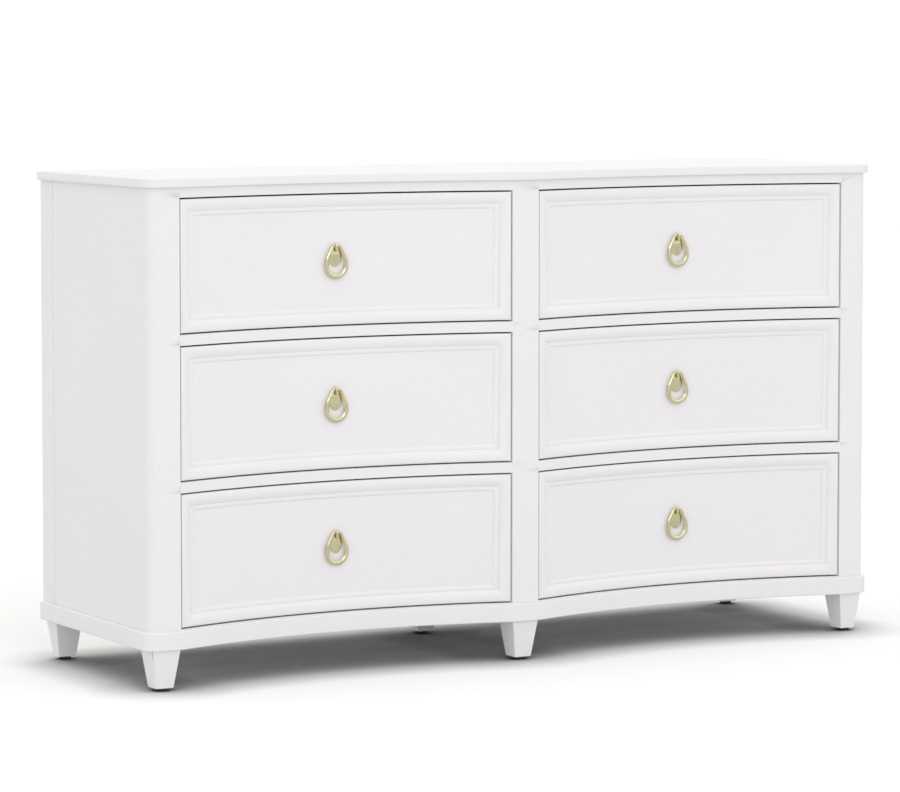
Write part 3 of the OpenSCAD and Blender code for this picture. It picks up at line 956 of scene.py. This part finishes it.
# %% [markdown]
# ## What repeats or runs along a line
# A ring is one section drawn along a line, a ball race is one ball set down again and again,
# and every screw has the same head. Loops could write out each mesh, but a Geometry Nodes tree
# says the rule once, with named inputs. These helpers run a tree on a mesh, read a value that
# the mesh carries, and end a tree the same way each time.

# %% Helpers for Geometry Nodes trees
def grown(tree, mesh, inputs):
    """Runs a Geometry Nodes tree on a mesh and gives the plain mesh that comes out."""
    carrier = placed(tree.name, mesh)
    run = carrier.modifiers.new(tree.name, "NODES")
    run.node_group = tree
    sockets = {s.name: s.identifier for s in tree.interface.items_tree if s.in_out == "INPUT"}
    for name, value in inputs.items():
        run[sockets[name]] = value
    return settled(carrier)


def named(tree, attribute, of_type="FLOAT"):
    return put(tree, "GeometryNodeInputNamedAttribute", {"Name": attribute},
               data_type=of_type).outputs[0]


def end_tree(tree, geometry, material):
    """Realize Instances, smooth shading and Set Material, then the tree's output."""
    plain = put(tree, "GeometryNodeRealizeInstances", {0: geometry}).outputs[0]
    smooth = put(tree, "GeometryNodeSetShadeSmooth", {0: plain}).outputs[0]
    dressed = put(tree, "GeometryNodeSetMaterial", {"Geometry": smooth, "Material": material})
    return close_group(tree, Geometry=dressed.outputs[0])


def closed_wire(name, points):
    """A mesh of edges from point to point and back to the first."""
    mesh = bpy.data.meshes.new(name)
    mesh.from_pydata(points, [(i, (i + 1) % len(points)) for i in range(len(points))], [])
    return mesh


# %% [markdown]
# ## Pulls: the cast ring
# The ring is a drop: a short round top that lies in the eye, two tight shoulders, full round
# sides and a wide round bottom. Its bar is narrow at the shoulders and twice as wide below, and
# a soft ridge runs round its face. It could be modelled as one round bar and pushed flat, but a
# sweep says it better: the path is the middle of the bar, each point of the path carries how
# wide the bar is there, and a Geometry Nodes tree draws one ridged section along it.

# %% Geometry Nodes: swept bar
def make_swept_bar():
    """Sweeps a section of unit size along a flat path, "wide" across and Thickness deep."""
    tree, given = open_group(
        "swept_bar", "GeometryNodeTree",
        [("Geometry", "NodeSocketGeometry", None), ("Section", "NodeSocketObject", None),
         ("Thickness", "NodeSocketFloat", 4 * MM), ("Material", "NodeSocketMaterial", None)],
        [("Geometry", "NodeSocketGeometry")])
    wide = named(tree, "wide")
    line = put(tree, "GeometryNodeMeshToCurve", {0: given["Geometry"]}).outputs[0]
    outline = put(tree, "GeometryNodeObjectInfo", {"Object": given["Section"]})
    section = put(tree, "GeometryNodeMeshToCurve", {0: outline.outputs["Geometry"]}).outputs[0]
    swept = put(tree, "GeometryNodeCurveToMesh", {
        "Curve": line, "Profile Curve": section, "Scale": wide})
    half = math_node(tree, "MULTIPLY", given["Thickness"], 0.5)
    flatten = put(tree, "ShaderNodeCombineXYZ", {
        0: 1.0, 1: 1.0, 2: math_node(tree, "DIVIDE", half, wide)}).outputs[0]
    spot = put(tree, "ShaderNodeVectorMath", {
        0: put(tree, "GeometryNodeInputPosition").outputs[0], 1: flatten}, operation="MULTIPLY")
    bar = put(tree, "GeometryNodeSetPosition", {
        "Geometry": swept.outputs[0], "Position": spot.outputs[0]}).outputs[0]
    return end_tree(tree, bar, given["Material"])


swept_bar = make_swept_bar()

# %% The ring
RING_BAR = 4.2 * MM
RING_LOW_W = 8.2 * MM
RING_MID_W = 7 * MM
RING_RISE = 7 * MM
RING_SLIM = 1.1 * MM
RING_FLAT = 3 * MM
SHOULDER_R = 7 * MM
RIDGE = 1.65

ring_lo, ring_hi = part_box(f"pull_ring_{SHOWN}")
ring_w = ring_hi.x - ring_lo.x
ring_drop = PIVOTS[SHOWN].z - ring_lo.z


def arc_points(centre, r, start, end, steps):
    turns = (start + (end - start) * i / steps for i in range(steps + 1))
    return [Vector((centre[0] + r * math.cos(a), centre[1] + r * math.sin(a), 0)) for a in turns]


def half_drop(p, mid_r, low_r):
    """Right half of a drop, from its lowest point up: three rounds and the lines that touch
    them. Its shoulder is p larger than the bar's middle line."""
    low = ring_w / 2 - ring_drop
    rounds = [(Vector((0, low)), low_r, 26), (Vector((0, low + RING_RISE)), mid_r, 14),
              (Vector((RING_FLAT, -SHOULDER_R)), SHOULDER_R + p, 14)]
    points, turn = [], -math.pi / 2
    for (at, r, steps), after in zip(rounds, rounds[1:] + [None]):
        leave = math.pi / 2
        if after:
            gap = after[0] - at
            leave = math.atan2(gap.y, gap.x) - math.acos((r - after[1]) / gap.length)
        points += arc_points(at, r, turn, leave, steps)
        turn = leave
    return points + [Vector((0, p, 0))]


def ring_path():
    """The middle line of the bar all the way round, with half its width at each point."""
    mid_r = ring_w / 2 - RING_SLIM
    outer = half_drop(RING_BAR / 2, mid_r, ring_w / 2)
    inner = half_drop(-RING_BAR / 2, mid_r - RING_MID_W, ring_w / 2 - RING_LOW_W)
    right = [((a + b) / 2, (a - b).length / 2) for a, b in zip(outer, inner)]
    left = [(Vector((-point.x, point.y, 0)), half) for point, half in right[-2:0:-1]]
    points = right + left
    mesh = closed_wire("ring_path", [point for point, _ in points])
    widths = mesh.attributes.new("wide", "FLOAT", "POINT")
    widths.data.foreach_set("value", [half for _, half in points])
    return mesh


def ridged_section(steps=24):
    """A unit section between a round and a diamond, so that it has a soft ridge."""
    def bent(value):
        return math.copysign(abs(value) ** (2 / RIDGE), value)
    turns = [math.tau * i / steps for i in range(steps)]
    points = [(bent(math.cos(a)), bent(math.sin(a)), 0) for a in turns]
    return placed("ring_section", closed_wire("ring_section", points))


def facing_outwards(mesh):
    bm = bmesh.new()
    bm.from_mesh(mesh)
    bmesh.ops.recalc_face_normals(bm, faces=bm.faces)
    bm.to_mesh(mesh)
    bm.free()
    return mesh


section = ridged_section()
pull_ring = facing_outwards(grown(swept_bar, ring_path(), {
    "Section": section, "Thickness": RING_BAR, "Material": FINISHES["pull_brass"]}))
bpy.data.objects.remove(section)
for tag in DRAWERS:
    piece(f"pull_drop_{tag}", set_down(pull_ring, tag), "pull_brass", f"ring_{tag}",
          f"pull_ring_{tag}")
print("pull ring", len(pull_ring.polygons), "faces,", round(ring_drop, 4), "m below its pivot")

# %% [markdown]
# ## Slides, glides and the boards inside
# The slides are rolled from zinc-plated strip, so their edges are only just broken. The glides
# are moulded with a soft edge. The partition and the back are boards nobody sees until a drawer
# is out, so they are barely sanded. All of them keep their CAD shape with an edge of their own.
# The back's sheet is held a little inside the case, which leaves room for its screw heads.

# %% Slides, glides, partition and back
BACK_IN = 0.8 * MM
BACK_EASE = 0.4 * MM
STRIP_EASE = 0.25 * MM
GLIDE_EASE = 1.2 * MM


def inset_back():
    """The back's sheet, with its rear face moved in."""
    mesh = eased_mesh("back_panel", BACK_EASE)
    lo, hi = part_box("back_panel")
    for v in mesh.vertices:
        if v.co.y > (lo.y + hi.y) / 2:
            v.co.y -= BACK_IN
    lay_grain(mesh, lambda p: "X")
    return mesh


piece("cabinet_slides_eased", eased_mesh("cabinet_slides", STRIP_EASE), "slide_steel",
      "carcass", "cabinet_slides")
for tag in DRAWERS:
    for node, body in ((f"drawer_runners_{tag}", f"drawer_{tag}"),
                       (f"slide_middle_{tag}", f"slides_{tag}")):
        piece(f"{node}_eased", eased_mesh(node, STRIP_EASE), "slide_steel", body, node)
piece("glides_moulded", eased_mesh("glides", GLIDE_EASE), "glide_plastic", "carcass", "glides")
piece("partition_board", eased_mesh("centre_partition", SANDED), "case_board", "carcass",
      "centre_partition")
piece("back_sheet", inset_back(), "back_board", "carcass", "back_panel")
print("slides", 1 + 2 * len(DRAWERS), "pieces, glides, partition and back")

# %% [markdown]
# ## Ball races
# A slide runs on rows of small steel balls, above and below, in the hollows between its three
# members: an outer row between the cabinet's member and the middle one, and an inner row
# between the middle one and the drawer's. Each row is a straight line, and Geometry Nodes set
# a ball on it at every pitch, so a row of any length comes out right. The balls ride with
# the middle member, and each row stays between its own two members over the whole travel.

# %% Geometry Nodes: ball race
def make_ball_race():
    tree, given = open_group(
        "ball_race", "GeometryNodeTree",
        [("Geometry", "NodeSocketGeometry", None), ("Pitch", "NodeSocketFloat", 12 * MM),
         ("Radius", "NodeSocketFloat", 1 * MM), ("Material", "NodeSocketMaterial", None)],
        [("Geometry", "NodeSocketGeometry")])
    line = put(tree, "GeometryNodeMeshToCurve", {0: given["Geometry"]}).outputs[0]
    spots = put(tree, "GeometryNodeCurveToPoints", {
        "Curve": line, "Length": given["Pitch"]}, mode="LENGTH").outputs["Points"]
    ball = put(tree, "GeometryNodeMeshUVSphere", {
        "Segments": 8, "Rings": 6, "Radius": given["Radius"]}).outputs["Mesh"]
    balls = put(tree, "GeometryNodeInstanceOnPoints", {"Points": spots, "Instance": ball})
    return end_tree(tree, balls.outputs[0], given["Material"])


ball_race = make_ball_race()

# %% Rows of balls in the slides
BALL_R = 0.95 * MM
BALL_PITCH = 12 * MM
TRAVEL = 160 * MM
OUTER_ROW = (20.3 * MM, 3.7 * MM, TRAVEL + 5 * MM, 5 * MM)
INNER_ROW = (16.8 * MM, 5.2 * MM, 2 * MM, TRAVEL)


def ball_rows(tag):
    """Lines for the rows of one drawer's two slides, four in each slide. A row is
    (distance from the slide's middle, distance in from its side, gap in front, gap behind)."""
    lo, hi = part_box(f"slide_middle_{tag}")
    middle_z = (lo.z + hi.z) / 2
    points = []
    for rise, inset, front_gap, back_gap in (OUTER_ROW, INNER_ROW):
        start, end = lo.y + front_gap, hi.y - back_gap
        for x in (lo.x + inset, hi.x - inset):
            for z in (middle_z - rise, middle_z + rise):
                points += [Vector((x, start, z)), Vector((x, end, z))]
    mesh = bpy.data.meshes.new("ball_rows")
    mesh.from_pydata(points, [(i, i + 1) for i in range(0, len(points), 2)], [])
    return mesh


for tag in DRAWERS:
    balls = grown(ball_race, ball_rows(tag), {
        "Pitch": BALL_PITCH, "Radius": BALL_R, "Material": ball_steel})
    piece(f"slide_balls_{tag}", balls, "slide_steel", f"slides_{tag}", material=ball_steel)
print("ball rows for", len(DRAWERS), "drawers,", len(balls.polygons), "faces each")

# %% [markdown]
# ## Screws
# A screw holds each pull from inside the drawer, three hold each drawer's slide member to its
# box, and rows of them hold the back. Only the heads are seen, so only heads are made: one
# turned outline, with two crossed slots cut out by Booleans. Nobody lines screws up, so
# Geometry Nodes turn each head by a random angle on its mark. The marks are single points
# that store which way the head faces.

# %% Geometry Nodes: screw set
def make_screw_set():
    tree, given = open_group(
        "screw_set", "GeometryNodeTree",
        [("Geometry", "NodeSocketGeometry", None), ("Head", "NodeSocketObject", None),
         ("Size", "NodeSocketFloat", 3 * MM), ("Seed", "NodeSocketInt", 1),
         ("Material", "NodeSocketMaterial", None)],
        [("Geometry", "NodeSocketGeometry")])
    head = put(tree, "GeometryNodeObjectInfo", {
        "Object": given["Head"], "As Instance": True}).outputs["Geometry"]
    faced = put(tree, "FunctionNodeAlignRotationToVector", {
        "Vector": named(tree, "facing", "FLOAT_VECTOR")}, axis="Z").outputs[0]
    turn = put(tree, "FunctionNodeRandomValue", {
        2: 0.0, 3: math.tau, "Seed": given["Seed"]}, data_type="FLOAT").outputs[1]
    spin = put(tree, "FunctionNodeAxisAngleToRotation", {"Angle": turn}).outputs[0]
    way = put(tree, "FunctionNodeRotateRotation", {
        "Rotation": faced, "Rotate By": spin}, rotation_space="LOCAL").outputs[0]
    screws = put(tree, "GeometryNodeInstanceOnPoints", {
        "Points": given["Geometry"], "Instance": head, "Rotation": way,
        "Scale": given["Size"]}).outputs[0]
    return end_tree(tree, screws, given["Material"])


def cross_slot(a, b, low, high):
    """A block that cuts one slot of the recess."""
    def layer(z):
        return [Vector((x, y, z)) for x, y in ((a, b), (-a, b), (-a, -b), (a, -b))]
    return closed_mesh("slot", [[Vector((0, 0, low))], layer(low), layer(high),
                                [Vector((0, 0, high))]])


def screw_head():
    """A head of radius 1 and height 0.5, with its seat at the origin."""
    outline = [(0, 0), (0.92, 0), (1, 0.08), (0.97, 0.22), (0.85, 0.36), (0.6, 0.46), (0, 0.5)]
    head = combined(closed_mesh("screw_head", turned(outline, steps=24)),
                    ("DIFFERENCE", cross_slot(0.55, 0.11, 0.2, 0.7)),
                    ("DIFFERENCE", cross_slot(0.11, 0.55, 0.2, 0.7)))
    return placed("screw_head", head)


screw_set = make_screw_set()

# %% Screws of the pulls, the slides and the back
PULL_HEAD_R = 4.4 * MM
RUNNER_HEAD_R = 2.2 * MM
BACK_HEAD_R = 3 * MM
BACK_SEED = 3
HEAD_SUNK = 0.85 * MM
WEB_IN = 7.3 * MM
END_GAP = 30 * MM
head = screw_head()


def screws(name, spots, radius, seed, body):
    """Heads at spots, which are (place, way it faces), as one piece on a body."""
    marks = bpy.data.meshes.new("marks")
    marks.from_pydata([place for place, _ in spots], [], [])
    facing = marks.attributes.new("facing", "FLOAT_VECTOR", "POINT")
    facing.data.foreach_set("vector", [value for _, way in spots for value in way])
    mesh = grown(screw_set, marks, {"Head": head, "Size": radius, "Seed": seed,
                                    "Material": FINISHES["slide_steel"]})
    mesh.set_sharp_from_angle(angle=SHARP)
    piece(name, mesh, "slide_steel", body)
    return len(spots)


def runner_marks(tag):
    """Three screws on the web of each drawer member, facing the side of the opening."""
    lo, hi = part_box(f"drawer_runners_{tag}")
    z = (lo.z + hi.z) / 2
    return [((x, y, z), (way, 0, 0)) for x, way in ((lo.x + WEB_IN, -1), (hi.x - WEB_IN, 1))
            for y in (lo.y + END_GAP, (lo.y + hi.y) / 2, hi.y - END_GAP)]


def back_marks(edge=11 * MM, pitch=0.17):
    """Screws round the back and down the partition, sunk a little into the sheet."""
    lo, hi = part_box("back_panel")
    y = hi.y - BACK_IN - HEAD_SUNK
    xs, zs = (lo.x + edge, hi.x - edge), (lo.z + edge, hi.z - edge)
    along = round((xs[1] - xs[0]) / pitch)
    up = round((zs[1] - zs[0]) / pitch)
    places = [(xs[0] + (xs[1] - xs[0]) * i / along, z) for i in range(along + 1) for z in zs]
    places += [(x, zs[0] + (zs[1] - zs[0]) * i / up) for i in range(1, up)
               for x in (xs[0], 0, xs[1])]
    return [((x, y, z), (0, 1, 0)) for x, z in places]


count = screws("back_screws", back_marks(), BACK_HEAD_R, BACK_SEED, "carcass")
for seed, tag in enumerate(DRAWERS):
    pull_at = Vector((PIVOTS[tag].x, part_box(f"drawer_front_{tag}")[1].y, PIVOTS[tag].z))
    count += screws(f"pull_screw_{tag}", [(pull_at, (0, 1, 0))], PULL_HEAD_R, seed,
                    f"drawer_{tag}")
    count += screws(f"runner_screws_{tag}", runner_marks(tag), RUNNER_HEAD_R, seed,
                    f"drawer_{tag}")
bpy.data.objects.remove(head)
print("screws", count)
